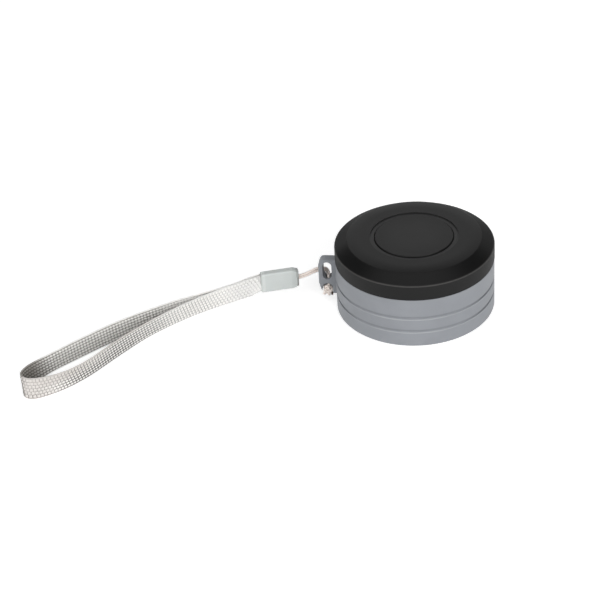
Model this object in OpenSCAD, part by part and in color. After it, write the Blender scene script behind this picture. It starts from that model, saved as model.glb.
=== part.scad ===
// Round push-button clicker with a wrist strap.
// The base stands on Z = 0, the button's axis is Z, and the strap lug points along -X.

/* [Case] */
// Outside diameter of the grey body
body_d = 59.8; // [57:0.2:62]
// How far the cap's side stands proud of the body's side
cap_overhang = 0.1; // [0.1:0.1:1]
// Height from the base to the flat of the top
case_h = 29.6; // [28:0.2:32]
// Height of the cap, from its seam with the body to the flat of the top
cap_h = 9.3; // [8.4:0.1:9.8]
// Thickness of the moulded side walls
wall = 2; // [1.6:0.1:2.4]
// Width of the cap's sloping edge, seen from above
bevel_w = 4.8; // [3.6:0.2:5.6]
// Height from the foot of that slope to the flat of the top
bevel_h = 3.3; // [2:0.1:3.6]
// Width of the top's rim, which falls gently towards the slope
crown_w = 4.8; // [3.6:0.2:5]
// How far that rim falls
crown_drop = 0.35; // [0.2:0.05:0.5]
// Radius of the edge between the rim and the slope
flat_edge_r = 0.5; // [0.4:0.1:2.6]
// Radius of the edge between the slope and the cap's side
side_edge_r = 0.45; // [0.2:0.05:0.8]
// Chamfer round the foot of the body
foot_chamfer = 0.5; // [0.2:0.1:0.8]
// Height of the spigot that centres the cap
spigot_h = 3.2; // [2:0.2:3.6]
// Thickness of the spigot
spigot_t = 1.5; // [1.2:0.1:1.8]

/* [Grip grooves] */
// Height of the lower groove's middle
groove_low_z = 6.7; // [5.4:0.1:7]
// Height of the upper groove's middle
groove_high_z = 12.4; // [11:0.1:13]
// Width of a groove
groove_w = 1.4; // [0.5:0.1:1.6]
// Depth of a groove
groove_depth = 0.45; // [0.2:0.05:0.7]

/* [Base cover] */
// Thickness of the cover that closes the body from below
base_t = 2.2; // [2:0.1:2.8]
// Width of the body's rim round the cover
rim_w = 2.6; // [2.2:0.1:3]
// Width of the ledge that the cover seats on
ledge_w = 2.2; // [1.6:0.1:2.6]
// Thickness of that ledge
ledge_t = 1.8; // [1.4:0.1:2.4]
// Number of sound slots
slot_count = 10; // [6:1:12]
// Width of a sound slot
sound_slot_w = 1.4; // [1:0.1:1.8]
// Length of a sound slot
sound_slot_l = 5.6; // [4:0.2:6]
// Distance from the axis to the inner end of a sound slot
sound_slot_r = 6; // [5:0.2:7]

/* [Button] */
// Diameter of the press button
button_d = 29.5; // [27:0.5:31]
// Width of the ring channel round the button
channel_w = 1.9; // [1.6:0.1:2.4]
// Depth of the ring channel
channel_depth = 0.4; // [0.3:0.1:1.2]
// Thickness of the cap's lip under the channel
lip_t = 1.3; // [1:0.1:1.6]
// How far the button travels
travel = 1.6; // [1:0.1:2]
// Thickness of the button's top and side
button_t = 1.5; // [1.2:0.1:1.8]
// How far the button's flange reaches under the lip
flange_w = 1.55; // [1.2:0.05:1.7]
// Thickness of the flange
flange_t = 1.6; // [1.2:0.1:2]
// Diameter of the plunger that presses the dome
plunger_d = 4.4; // [3.6:0.2:5.2]
// Gap between the button and what it slides in
slide_gap = 0.25; // [0.2:0.05:0.4]
// Wall of the collar that guides the flange
collar_t = 1.6; // [1.2:0.1:2]

/* [Click mechanism] */
// Diameter of the spring steel dome
dome_d = 24.8; // [23:0.2:25.6]
// Thickness of the dome
dome_t = 0.35; // [0.25:0.05:0.5]
// Rise of the dome above its rim
dome_rise = 2; // [1.6:0.1:2.4]
// Length of the return spring at rest
spring_h = 9.1; // [8:0.1:10]
// Wire diameter of the return spring
spring_wire = 0.8; // [0.6:0.1:1]
// Number of working coils of the return spring
spring_turns = 4; // [3:1:5]
// Depth of the seat ring for the return spring
spring_seat = 0.6; // [0.4:0.1:0.8]
// Height of the retainer ring
retainer_h = 2.4; // [2:0.1:2.8]
// Wall of the sound cup
cup_t = 1.8; // [1.4:0.1:2.2]
// Thickness of the shelf that carries the dome
shelf_t = 1.8; // [1.4:0.1:2.4]
// Width of the dome's rim that rests on the shelf
dome_seat_w = 1; // [0.8:0.1:1.4]

/* [Case screws] */
// Diameter of a screw post
post_d = 7; // [6:0.2:7.4]
// Diameter of a screw's shank
screw_d = 2.5; // [2.2:0.1:3]
// Diameter of a screw's head
screw_head_d = 5; // [4.4:0.2:5.4]
// Height of a screw's head
screw_head_h = 1.1; // [0.8:0.1:1.3]

/* [Strap lug] */
// How far the lug reaches beyond the body
lug_reach = 6.7; // [6.4:0.1:8]
// Thickness of the lug
lug_t = 4.2; // [3.8:0.1:5]
// How far the lug's top lies below the seam
lug_drop = 1.5; // [1.2:0.1:2.4]
// Height of the lug, from the tip of its outer leg to its top
lug_h = 13.8; // [12.6:0.1:14.2]
// Radius of the lug's upper corner
lug_corner_r = 2.8; // [1.6:0.1:3.2]
// Chamfer along the lug's outer edges
lug_edge = 0.5; // [0.2:0.1:0.8]
// Width of the lug's outer leg
lug_leg = 1.6; // [1.3:0.05:2]
// Width of the slot that the cord goes in by
lug_slot_w = 3.5; // [3.3:0.1:4]
// Height of that slot
lug_slot_h = 7.6; // [6.6:0.1:7.8]
// Thickness of the bar over the slot
lug_bar = 1; // [0.8:0.1:1.4]
// Thickness of the crossbar between slot and knot pocket
crossbar_t = 1.75; // [1.4:0.05:2.2]
// Width of the knot pocket
pocket_w = 4.2; // [3.6:0.1:4.3]
// Diameter of the cord hole through the crossbar
cord_hole_d = 2.5; // [2.3:0.1:2.7]

/* [Strap] */
// Width of the webbing
web_w = 8.5; // [8:0.1:9]
// Thickness of the webbing
web_t = 0.8; // [0.6:0.1:0.9]
// Gap between the webbing's two layers in the clamp
web_gap = 0.3; // [0.2:0.1:0.5]
// Diameter of the cord
cord_d = 1; // [0.8:0.1:1.1]
// Length of the clamp
clamp_l = 14.6; // [13.8:0.2:16]
// Width of the clamp
clamp_w = 8.5; // [8.2:0.1:10.4]
// Thickness of the clamp
clamp_t = 3.2; // [3:0.1:4.4]
// Diameter of the post that the cord goes round inside the clamp
cord_post_d = 2.9; // [2.4:0.1:3.2]

/* [Hidden] */
$fn = 96;
eps = 0.01;

// Clearances
seat_gap = 0.2;       // between moulded pieces that plug into each other
play = 0.2;           // button flange to lip, at rest
tip_gap = 0.25;       // plunger to dome, at rest
stop_gap = 0.1;       // button skirt to retainer, pressed home

// Case
seam_z = case_h - cap_h;
body_r = body_d / 2;
body_ri = body_r - wall;
cap_r = body_r + cap_overhang;
cap_ri = cap_r - wall;
spigot_r = cap_ri - seat_gap;
spigot_ri = spigot_r - spigot_t;
flat_r = cap_r - bevel_w;
bevel_z = case_h - bevel_h;
bevel_angle = atan2(bevel_h - crown_drop, bevel_w);
crown_ball_r = (crown_w * crown_w + crown_drop * crown_drop) / (2 * crown_drop);
crown_angle = asin(crown_w / crown_ball_r);
crease = (bevel_angle - crown_angle) / 2;   // half the turn from the rim to the slope
base_r = body_r - rim_w - seat_gap;
ledge_z = base_t + ledge_t;
seam_chamfer = 0.25;
ease = 0.4;           // small chamfers on inner pieces

// Button and what it slides in, from the axis outwards and the top down
button_r = button_d / 2;
button_ri = button_r - button_t;
channel_r = button_r + channel_w;
lip_r = button_r + slide_gap;
flange_r = button_r + flange_w;
guide_r = flange_r + slide_gap;
collar_r = guide_r + collar_t;
channel_z = case_h - channel_depth;
lip_z = channel_z - lip_t;
flange_z = lip_z - play - flange_t;
button_edge = 0.25;

// Click mechanism
spring_r = button_r - button_t / 2;
seat_z = flange_z - spring_h;
retainer_z = seat_z + spring_seat - retainer_h;
retainer_top = retainer_z + retainer_h;
cup_top = retainer_top + ease;
cup_ri = collar_r - cup_t;
retainer_r = cup_ri - seat_gap;
dome_r = dome_d / 2;
dome_pocket_r = dome_r + 0.3;
shelf_ri = dome_r - dome_seat_w;
skirt_t = 1.1;
skirt_gap = 0.75;     // button skirt to the spring round it
skirt_ri = spring_r - spring_wire / 2 - skirt_gap - skirt_t;
lip_over = 0.15;      // the retainer's lip reaches past the skirt's inside by this
dome_hold = 0.8;      // and over the dome's rim by at least this
retainer_ri = min(dome_r - dome_hold, skirt_ri - lip_over);
dome_ball_r = (dome_r * dome_r + dome_rise * dome_rise) / (2 * dome_rise);
apex_z = retainer_z + dome_rise + dome_t;
// Height of the dome's upper face at a distance from the axis, above its seat
function dome_top(r) = sqrt(pow(dome_ball_r + dome_t, 2) - r * r) - (dome_ball_r - dome_rise);
skirt_z = retainer_top + travel + stop_gap;
rib_t = 1.2;
locating_rib_h = 1.6;
locating_rib_t = 1.6;

// Screws
post_r = collar_r + post_d / 2 + 0.3;
post_angles = [30, 150, 270];
post_rib_t = 2;
post_rib_h = seam_z - 3 * wall - base_t - ledge_t / 2;
screw_hole_d = screw_d + 0.8;
head_recess_d = screw_head_d + 0.6;
head_recess_h = screw_head_h + 0.2;
screw_end_z = lip_z - 2;
drive_w = 0.7;        // cross recess in a screw's head
drive_l = 3;
drive_depth = 0.6;

// Lug, as distances from the axis
lug_r = body_r + lug_reach;
lug_root_r = body_r - wall / 2;
lug_top_z = seam_z - lug_drop;
lug_toe_z = lug_top_z - lug_h;
lug_foot_z = lug_toe_z - 1;
lug_toe_in = 1.1;     // how far the outer leg narrows towards its tip
lug_knee_z = lug_toe_z + 3.4;
slot_r1 = lug_r - lug_leg;
slot_r0 = slot_r1 - lug_slot_w;
slot_top_z = lug_top_z - lug_bar;
lug_slot_z = slot_top_z - lug_slot_h;
pocket_top_z = lug_slot_z - crossbar_t;
pocket_r = (slot_r0 + slot_r1) / 2 + 0.1;
pocket_y = cord_hole_d / 2 + 0.05;   // the pocket's back wall
cord_hole_r = (slot_r0 + slot_r1) / 2 - 0.4;

// Clamp: its mouth, where the webbing goes in, and how it is turned
clamp_mouth = [-58.9, -3, 8.6];
clamp_yaw = 18;
clamp_lean = 5;
web_grip = 7;         // length of webbing inside the clamp
clamp_rim = 0.45;     // wall of the clamp along the webbing's edges
web_in = clamp_w - 2 * clamp_rim - 0.1;   // the webbing's width as the clamp squeezes it
bite = 0.1;           // the gripping ribs press this far into the webbing
grip_ribs = 3;
clamp_edge = 0.5;
nose_l = 2.6;
nose_in = 0.9;
nose_thin = 0.5;
cord_room = cord_d + 0.2;
post_x = clamp_l - 4.4;
turn_r = cord_post_d / 2 + cord_d / 2 + 0.05;
strand = cord_d / 2 + 0.05;   // each strand's distance from the middle at the clamp's nose
layer_y = (web_t + web_gap) / 2;

// Places in the clamp's own frame, as places of the object
function turn_x(p, a) = [p.x, p.y * cos(a) - p.z * sin(a), p.y * sin(a) + p.z * cos(a)];
function turn_z(p, a) = [p.x * cos(a) - p.y * sin(a), p.x * sin(a) + p.y * cos(a), p.z];
function in_clamp(p) = clamp_mouth + turn_z(turn_x(p, clamp_lean), clamp_yaw);

// Lower edge of the free webbing: x, y, z and its lean out of the loop, in degrees
web_route = [
    [-62.6, -4.1, 2.8, 6], [-66.9, -5.1, 1.7, 7], [-74.9, -8.4, 0.4, 9], [-82.9, -14, 0, 11],
    [-90.9, -21.5, 0, 13], [-97.9, -29.3, 0, 14], [-103.9, -37.7, 0, 12], [-109.4, -46.4, 0, 10],
    [-114.9, -55.2, 0, 11], [-121, -62.7, 0, 9], [-127, -67.8, 0, 2], [-131.8, -70.5, 0, -7],
    [-135.2, -69.9, 0, -6], [-136.5, -66.5, 0, 3], [-135.2, -62.1, 0, 3], [-132.2, -57.4, 0, 0],
    [-127.8, -51.6, 0, -4], [-122.6, -45.9, 0, -2], [-116.5, -39.3, 0, -2], [-110, -32.7, 0, -2],
    [-103.5, -26.7, 0, -4], [-96.9, -21.2, 0, -6], [-89.9, -15.7, 0, -8], [-82.3, -10.9, 0, -10],
    [-74.5, -7, 0.4, -9], [-66.6, -4, 1.6, -8], [-62.4, -2.9, 2.8, -7]];
// Upper and lower strands of the cord, from the knot to the clamp's nose
upper_strand = [
    [-33, 0.15, 5.8], [-32.95, 0.45, 7.6], [-32.95, 0.55, 8.8], [-32.9, 0.65, 10.2],
    [-33, 1, 11.4], [-33.55, 1.7, 12.2], [-34.35, 2.5, 12.3], [-35.4, 3.1, 12.05],
    [-36.7, 3.45, 11.8], [-38.2, 3.4, 11.4], [-40.3, 2.8, 10.5], [-42.8, 2.15, 9.55]];
lower_strand = [
    [-33, -0.95, 5.8], [-32.95, -0.65, 7.6], [-32.95, -0.55, 8.8], [-32.95, -0.45, 9.95],
    [-33.15, 0.1, 10.75], [-33.45, 1.1, 11], [-33.85, 2, 11.1], [-34.45, 2.8, 11.05],
    [-35.45, 3.3, 10.95], [-36.9, 3.45, 10.65], [-38.3, 3.35, 10.2], [-40.4, 2.8, 9.4],
    [-42.9, 2.15, 8.45]];
knot_at = [-33.45, -0.9, 5];
knot_ring_r = 0.95;
knot_tube_r = 0.5;
knot_tall = 1.2;
knot_cord_d = 0.95;

// Points on a circle's arc, and points on a smooth curve through a list of points
function arc(c, r, a0, a1, n = 6) = [for (i = [0:n]) let (a = a0 + (a1 - a0) * i / n)
    c + r * [cos(a), sin(a)]];
function at(list, i) = list[max(0, min(len(list) - 1, i))];
function between(a, b, c, d, t) = (2 * b + (c - a) * t + (2 * a - 5 * b + 4 * c - d) * t * t
    + (3 * b - a - 3 * c + d) * t * t * t) / 2;
function smooth(list, n) = concat([for (i = [0:len(list) - 2], k = [0:n - 1])
    between(at(list, i - 1), at(list, i), at(list, i + 1), at(list, i + 2), k / n)],
    [list[len(list) - 1]]);
function unit(v) = v / norm(v);
function heading(list, i) = unit(at(list, i + 1) - at(list, i - 1));
function xyz(p) = [p.x, p.y, p.z];

// A solid swept through rings that all have the same number of points
module skin(rings, closed = false) {
    n = len(rings[0]);
    m = len(rings);
    last = closed ? m - 1 : m - 2;
    sides = [for (i = [0:last], j = [0:n - 1]) let (k = (i + 1) % m, q = (j + 1) % n)
        each [[i * n + j, i * n + q, k * n + q], [i * n + j, k * n + q, k * n + j]]];
    ends = closed ? [] : concat([for (j = [1:n - 2]) [0, j + 1, j]],
        [for (j = [1:n - 2]) [(m - 1) * n, (m - 1) * n + j, (m - 1) * n + j + 1]]);
    polyhedron([for (ring = rings) each ring], concat(sides, ends));
}

// Rings of a round tube along a line, with a start direction carried along without twist
function carried(list, i, v) = let (t = heading(list, i)) unit(v - t * (v * t));
function sides_of(list, v0) = [for (i = 0, v = carried(list, 0, v0); i < len(list);
    i = i + 1, v = i < len(list) ? carried(list, i, v) : v) v];
function tube_rings(list, d, n, v0) = let (s = sides_of(list, v0)) [for (i = [0:len(list) - 1])
    let (t = heading(list, i), b = cross(t, s[i]))
    [for (j = [0:n - 1]) list[i] + d / 2 * (cos(360 * j / n) * s[i] + sin(360 * j / n) * b)]];

// Half of a profile turned round the Z axis
module turned(points) {
    rotate_extrude() polygon(points);
}

// A groove in the body's side: its lower flank slopes out to a lip, its upper flank is steep
function notch(z) = let (r = body_r - groove_depth, low = z - groove_w / 2, high = z + groove_w / 2)
    [[body_r, low], [r, low + groove_w * 0.3], [r, high - groove_w * 0.1], [body_r, high]];

module at_posts() {
    for (a = post_angles) rotate(a) translate([post_r, 0, 0]) children();
}

// Outline of the lug, seen along Y, with its slot
module lug_outline() {
    difference() {
        polygon(concat(
            [[-lug_root_r, lug_foot_z], [-lug_root_r, lug_top_z]],
            arc([lug_corner_r - lug_r, lug_top_z - lug_corner_r], lug_corner_r, 90, 180),
            [[-lug_r, lug_knee_z], [lug_toe_in - lug_r, lug_toe_z],
             [-slot_r0 - lug_slot_w / 2, lug_toe_z], [-slot_r0, lug_foot_z]]));
        translate([-slot_r1, lug_slot_z + lug_slot_w / 2])
            square([lug_slot_w, slot_top_z - lug_slot_z - lug_slot_w]);
        for (z = [lug_slot_z + lug_slot_w / 2, slot_top_z - lug_slot_w / 2])
            translate([-slot_r0 - lug_slot_w / 2, z]) circle(d = lug_slot_w);
    }
}

// Outline of the knot pocket, open below
module pocket_outline() {
    translate([-pocket_r, pocket_top_z - pocket_w / 2]) circle(d = pocket_w);
    translate([-pocket_r - pocket_w / 2, 0]) square([pocket_w, pocket_top_z - pocket_w / 2]);
}

// The lug: its outline from the front, from above and from its end, all three at once,
// with the knot pocket sunk into its front
module lug() {
    h = lug_t / 2;
    e = lug_edge;
    difference() {
        intersection() {
            translate([0, h, 0]) rotate([90, 0, 0]) linear_extrude(lug_t) lug_outline();
            linear_extrude(case_h) polygon([[0, -h], [0, h], [e - lug_r, h], [-lug_r, h - e],
                [-lug_r, e - h], [e - lug_r, -h]]);
            rotate([90, 0, -90]) linear_extrude(lug_r) polygon([[-h, 0], [h, 0],
                [h, lug_top_z - e], [h - e, lug_top_z], [e - h, lug_top_z], [-h, lug_top_z - e]]);
        }
        translate([0, pocket_y, 0]) rotate([90, 0, 0]) linear_extrude(pocket_y + lug_t)
            pocket_outline();
    }
}

module body_shell() {
    color("#979ba3") difference() {
        union() {
            turned(concat(
                [[base_r + seat_gap, 0], [body_r - foot_chamfer, 0], [body_r, foot_chamfer]],
                notch(groove_low_z), notch(groove_high_z),
                [[body_r, seam_z], [spigot_r, seam_z], [spigot_r, seam_z + spigot_h - ease],
                 [spigot_r - ease, seam_z + spigot_h], [spigot_ri, seam_z + spigot_h],
                 [spigot_ri, seam_z - wall], [body_ri, seam_z - 2 * wall], [body_ri, ledge_z],
                 [base_r - ledge_w, ledge_z], [base_r - ledge_w, base_t],
                 [base_r + seat_gap, base_t]]));
            at_posts() translate([0, 0, base_t]) cylinder(d = post_d, h = seam_z - base_t);
            for (a = post_angles) rotate(a)
                translate([post_r, -post_rib_t / 2, base_t + ledge_t / 2])
                    cube([body_r - wall / 2 - post_r, post_rib_t, post_rib_h]);
            lug();
        }
        at_posts() cylinder(d = screw_hole_d, h = case_h);
        translate([-cord_hole_r, 0, pocket_top_z - pocket_w / 2])
            cylinder(d = cord_hole_d, h = crossbar_t + pocket_w / 2 + lug_slot_w / 2);
    }
}

module base_cover() {
    color("#8f939b") difference() {
        union() {
            turned([[0, 0], [base_r - ease, 0], [base_r, ease], [base_r, base_t], [0, base_t]]);
            translate([0, 0, base_t]) difference() {
                cylinder(r = cup_ri - seat_gap, h = locating_rib_h);
                translate([0, 0, -eps])
                    cylinder(r = cup_ri - seat_gap - locating_rib_t, h = locating_rib_h + 2 * eps);
            }
        }
        for (i = [0:slot_count - 1]) rotate(360 * i / slot_count) {
            translate([sound_slot_r, -sound_slot_w / 2, -eps])
                cube([sound_slot_l, sound_slot_w, base_t + 2 * eps]);
            for (x = [sound_slot_r, sound_slot_r + sound_slot_l])
                translate([x, 0, -eps]) cylinder(d = sound_slot_w, h = base_t + 2 * eps);
        }
        at_posts() {
            translate([0, 0, -eps]) cylinder(d = screw_hole_d, h = base_t + 2 * eps);
            translate([0, 0, -eps]) cylinder(d = head_recess_d, h = head_recess_h + eps);
        }
    }
}

module cap() {
    turn = 90 - bevel_angle;
    lower = [cap_r - side_edge_r, bevel_z - side_edge_r * tan(turn / 2)];
    crease_turn = turn + crease;
    upper = [flat_r, case_h - crown_drop]
        - flat_edge_r / cos(crease) * [cos(crease_turn), sin(crease_turn)];
    crown_mid = [flat_r - crown_w, case_h - crown_ball_r];
    crown_stop = asin((crown_w - flat_edge_r * tan(crease)) / crown_ball_r);
    inner_z = bevel_z - wall;
    color("#333436") difference() {
        union() {
            turned(concat(
                [[cap_ri, seam_z], [cap_r - seam_chamfer, seam_z], [cap_r, seam_z + seam_chamfer]],
                arc(lower, side_edge_r, 0, turn), arc(upper, flat_edge_r, turn, turn + 2 * crease),
                arc(crown_mid, crown_ball_r, 90 - crown_stop, 90, 8),
                [[channel_r, case_h], [channel_r, channel_z], [lip_r, channel_z], [lip_r, lip_z],
                 [guide_r, lip_z], [guide_r, cup_top], [collar_r, cup_top], [collar_r, lip_z],
                 [cap_ri - bevel_w + wall / 2, lip_z], [cap_ri, inner_z]]));
            at_posts() translate([0, 0, seam_z]) cylinder(d = post_d, h = lip_z - seam_z + eps);
        }
        at_posts() translate([0, 0, seam_z - eps])
            cylinder(d = screw_d + 0.1, h = screw_end_z - seam_z + 2 * ease);
    }
}

module press_button() {
    top_z = case_h - button_t;
    color("#2f3032") union() {
        turned([[0, top_z], [0, case_h], [button_r - button_edge, case_h],
            [button_r, case_h - button_edge], [button_r, flange_z + flange_t],
            [flange_r, flange_z + flange_t], [flange_r, flange_z], [button_ri, flange_z],
            [button_ri, top_z]]);
        translate([0, 0, skirt_z]) difference() {
            cylinder(r = skirt_ri + skirt_t, h = top_z - skirt_z + eps);
            translate([0, 0, -eps]) cylinder(r = skirt_ri, h = top_z - skirt_z + 3 * eps);
        }
        translate([0, 0, apex_z + tip_gap + plunger_d / 2]) {
            sphere(d = plunger_d);
            cylinder(d = plunger_d, h = top_z + eps - apex_z - tip_gap - plunger_d / 2);
        }
        for (a = [0, 90]) rotate(a) translate([-skirt_ri - eps, -rib_t / 2, skirt_z + 2 * rib_t])
            cube([2 * (skirt_ri + eps), rib_t, top_z + eps - skirt_z - 2 * rib_t]);
    }
}

// Coil of the return spring: flat for part of a turn at each end, rising between
spring_flat = 0.5;
spring_steps = 16;
spring_all = spring_turns + 2 * spring_flat;
function spring_rise(u) = max(0, min(1, (u - spring_flat) / spring_turns));
function spring_point(u) = [spring_r * cos(360 * u), spring_r * sin(360 * u),
    seat_z + spring_wire / 2 + (spring_h - spring_wire) * spring_rise(u)];
spring_line = [for (i = [0:spring_all * spring_steps]) spring_point(i / spring_steps)];
spring_gap = min([for (i = [0:len(spring_line) - 1], j = [0:len(spring_line) - 1])
    if (j - i > spring_steps / 2) norm(spring_line[i] - spring_line[j])]) - spring_wire;
echo(str("least gap between the return spring's coils: ", spring_gap, " mm"));

module return_spring() {
    color("#c9ccd0") skin(tube_rings(spring_line, spring_wire, 6, [1, 0, 0]));
}

module click_dome() {
    color("#d4d6d9") intersection() {
        translate([0, 0, retainer_z + dome_rise - dome_ball_r]) difference() {
            sphere(r = dome_ball_r + dome_t);
            sphere(r = dome_ball_r);
        }
        translate([0, 0, retainer_z]) cylinder(r = dome_r, h = dome_rise + 2 * dome_t);
    }
}

module dome_retainer() {
    hold_z = retainer_z + dome_top(retainer_ri) + 0.05;
    color("#e2e0d8") turned([[dome_pocket_r, retainer_z], [retainer_r, retainer_z],
        [retainer_r, retainer_top], [spring_r + spring_wire, retainer_top],
        [spring_r + spring_wire, seat_z], [spring_r - spring_wire, seat_z],
        [spring_r - spring_wire, retainer_top], [retainer_ri, retainer_top],
        [retainer_ri, hold_z], [dome_pocket_r, hold_z]]);
}

module sound_cup() {
    color("#e2e0d8") turned([[cup_ri, base_t], [collar_r, base_t], [collar_r, cup_top],
        [cup_ri, cup_top], [cup_ri, retainer_z], [shelf_ri, retainer_z],
        [shelf_ri, retainer_z - shelf_t], [cup_ri, retainer_z - shelf_t - ease]]);
}

module case_screws() {
    color("#b9bcc0") at_posts() difference() {
        union() {
            translate([0, 0, head_recess_h - screw_head_h])
                cylinder(d = screw_head_d, h = screw_head_h);
            translate([0, 0, head_recess_h - eps])
                cylinder(d = screw_d, h = screw_end_z - head_recess_h - screw_d);
            translate([0, 0, screw_end_z - screw_d - eps])
                cylinder(d1 = screw_d, d2 = screw_d / 4, h = screw_d);
        }
        for (a = [0, 90]) rotate(a) translate([-drive_l / 2, -drive_w / 2, 0])
            cube([drive_l, drive_w, head_recess_h - screw_head_h + drive_depth]);
    }
}

// Line of the cord: up from the knot, round the post in the clamp and back
post_turn = [for (a = [60:30:300]) in_clamp([post_x + turn_r * cos(a), 0, turn_r * sin(a)])];
nose_up = [for (x = [clamp_l, clamp_l - 1.2]) in_clamp([x, 0, strand])];
nose_down = [for (x = [clamp_l - 1.2, clamp_l]) in_clamp([x, 0, -strand])];
back_down = [for (i = [len(lower_strand) - 1:-1:0]) lower_strand[i]];
cord_line = smooth(concat(upper_strand, nose_up, post_turn, nose_down, back_down), 2);

module strap_cord() {
    color("#cdbfb6") skin(tube_rings(cord_line, cord_d, 8, [1, 0, 0]));
}

// Line of the knot: a threefold knot that faces -Y
knot_steps = 60;
function knot_point(a) = knot_at + [(knot_ring_r + knot_tube_r * cos(3 * a)) * cos(2 * a),
    knot_tube_r * sin(3 * a), knot_tall * (knot_ring_r + knot_tube_r * cos(3 * a)) * sin(2 * a)];
function knot_ring(a) = let (t = unit(knot_point(a + 1) - knot_point(a - 1)),
    s = unit(cross(t, knot_point(a) - knot_at)), b = cross(t, s))
    [for (j = [0:7]) knot_point(a) + knot_cord_d / 2 * (cos(45 * j) * s + sin(45 * j) * b)];

module cord_knot() {
    color("#cdbfb6") skin([for (i = [0:knot_steps - 1]) knot_ring(360 * i / knot_steps)], true);
}

// Block of the clamp: its outline from the front, from above and from its end, all three at once
module clamp_block() {
    h = clamp_w / 2;
    t = clamp_t / 2;
    e = clamp_edge;
    intersection() {
        translate([0, t, 0]) rotate([90, 0, 0]) linear_extrude(clamp_t)
            polygon([[0, e - h], [e, -h], [clamp_l - nose_l, -h], [clamp_l, nose_in - h],
                [clamp_l, h - nose_in], [clamp_l - nose_l, h], [e, h], [0, h - e]]);
        translate([0, 0, -h]) linear_extrude(clamp_w)
            polygon([[0, e - t], [e, -t], [clamp_l - nose_l, -t], [clamp_l, nose_thin - t],
                [clamp_l, t - nose_thin], [clamp_l - nose_l, t], [e, t], [0, t - e]]);
        rotate([90, 0, 90]) linear_extrude(clamp_l)
            polygon([[e - t, -h], [t - e, -h], [t, e - h], [t, h - e], [t - e, h], [e - t, h],
                [-t, h - e], [-t, e - h]]);
    }
}

// Room inside the clamp for the webbing's ends and for the cord's loop
module clamp_room() {
    room_w = clamp_w - 2 * clamp_rim;
    room_t = 2 * layer_y + web_t + 0.04;
    difference() {
        translate([-eps, -room_t / 2, -room_w / 2]) cube([web_grip + 0.2, room_t, room_w]);
        for (i = [1:grip_ribs], s = [-1, 1])
            translate([i * web_grip / (grip_ribs + 1), s * room_t / 2, 0])
                cube([web_t, 2 * bite, room_w - 2], center = true);
    }
    translate([0, cord_room / 2, 0]) rotate([90, 0, 0]) linear_extrude(cord_room) {
        translate([post_x, 0]) circle(r = turn_r + cord_room / 2);
        polygon([for (s = [-1, 1]) each s > 0
            ? [[post_x, turn_r + cord_room / 2], [clamp_l - 1, strand + cord_room / 2],
               [clamp_l + 1, strand + cord_room / 2]]
            : [[clamp_l + 1, -strand - cord_room / 2], [clamp_l - 1, -strand - cord_room / 2],
               [post_x, -turn_r - cord_room / 2]]]);
    }
}

module place_clamp() {
    translate(clamp_mouth) rotate([0, 0, clamp_yaw]) rotate([clamp_lean, 0, 0]) children();
}

// One half of the clamp: side -1 faces -Y, side 1 faces +Y
module clamp_half(side) {
    intersection() {
        difference() {
            clamp_block();
            clamp_room();
        }
        translate([-1, side > 0 ? 0 : -clamp_t, -clamp_w])
            cube([clamp_l + 2, clamp_t, 2 * clamp_w]);
    }
}

module clamp_front() {
    color("#c3cac7") place_clamp() clamp_half(-1);
}

module clamp_back() {
    color("#c3cac7") place_clamp() union() {
        clamp_half(1);
        translate([post_x, cord_room / 2 + eps, 0]) rotate([90, 0, 0])
            cylinder(d = cord_post_d, h = cord_room + eps);
    }
}

// Rings of the webbing: a flat band on its edge, from the clamp round the loop and back
function band(foot, up, out, w) = [for (s = [[0, -1], [0, 1], [1, 1], [1, -1]])
    foot + up * s[0] * w + out * s[1] * web_t / 2];
function clamp_band(x, y) = let (w = web_in, foot = in_clamp([x, y, -w / 2]),
    up = in_clamp([x, y, w / 2]) - foot, out = in_clamp([x, y - 1, -w / 2]) - foot)
    band(foot, unit(up), sign(-y) * out, w);
function free_band(line, i) = let (p = line[i], t = heading([for (q = line) xyz(q)], i),
    out = unit(cross([0, 0, 1], t)), v = cross(out, t), up = v * sign(v.z),
    lean = up * cos(p[3]) + out * sin(p[3]), side = unit(cross(t, lean)),
    face = side * sign(side * out))
    band([p.x, p.y, max(0, p.z) + abs(face.z) * web_t / 2], lean, face, web_w);
mouth_gap = 0.6;
web_line = smooth(web_route, 2);

module webbing() {
    color("#e6e4e1") skin(concat(
        [for (x = [web_grip, 0, -mouth_gap]) clamp_band(x, -layer_y)],
        [for (i = [0:len(web_line) - 1]) free_band(web_line, i)],
        [for (x = [-mouth_gap, 0, web_grip]) clamp_band(x, layer_y)]));
}

body_shell();
base_cover();
cap();
press_button();
return_spring();
click_dome();
dome_retainer();
sound_cup();
case_screws();
strap_cord();
cord_knot();
clamp_front();
clamp_back();
webbing();
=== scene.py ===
import math
from collections import namedtuple

import bmesh
import bpy
import numpy as np
from mathutils import Matrix, Vector


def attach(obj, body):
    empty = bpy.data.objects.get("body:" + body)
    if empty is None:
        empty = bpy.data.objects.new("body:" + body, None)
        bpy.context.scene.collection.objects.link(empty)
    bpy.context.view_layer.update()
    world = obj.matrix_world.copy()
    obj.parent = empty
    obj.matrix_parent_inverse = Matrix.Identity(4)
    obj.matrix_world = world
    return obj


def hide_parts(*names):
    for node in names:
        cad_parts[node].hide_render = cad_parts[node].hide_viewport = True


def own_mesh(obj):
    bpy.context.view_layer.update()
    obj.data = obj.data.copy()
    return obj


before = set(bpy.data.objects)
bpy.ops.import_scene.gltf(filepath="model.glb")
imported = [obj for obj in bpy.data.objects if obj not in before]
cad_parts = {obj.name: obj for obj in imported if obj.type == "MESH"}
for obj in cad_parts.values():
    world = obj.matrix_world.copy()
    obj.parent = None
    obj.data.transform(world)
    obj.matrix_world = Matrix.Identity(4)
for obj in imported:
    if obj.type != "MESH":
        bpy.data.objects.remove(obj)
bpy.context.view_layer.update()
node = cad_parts
MM = 0.001

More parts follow.
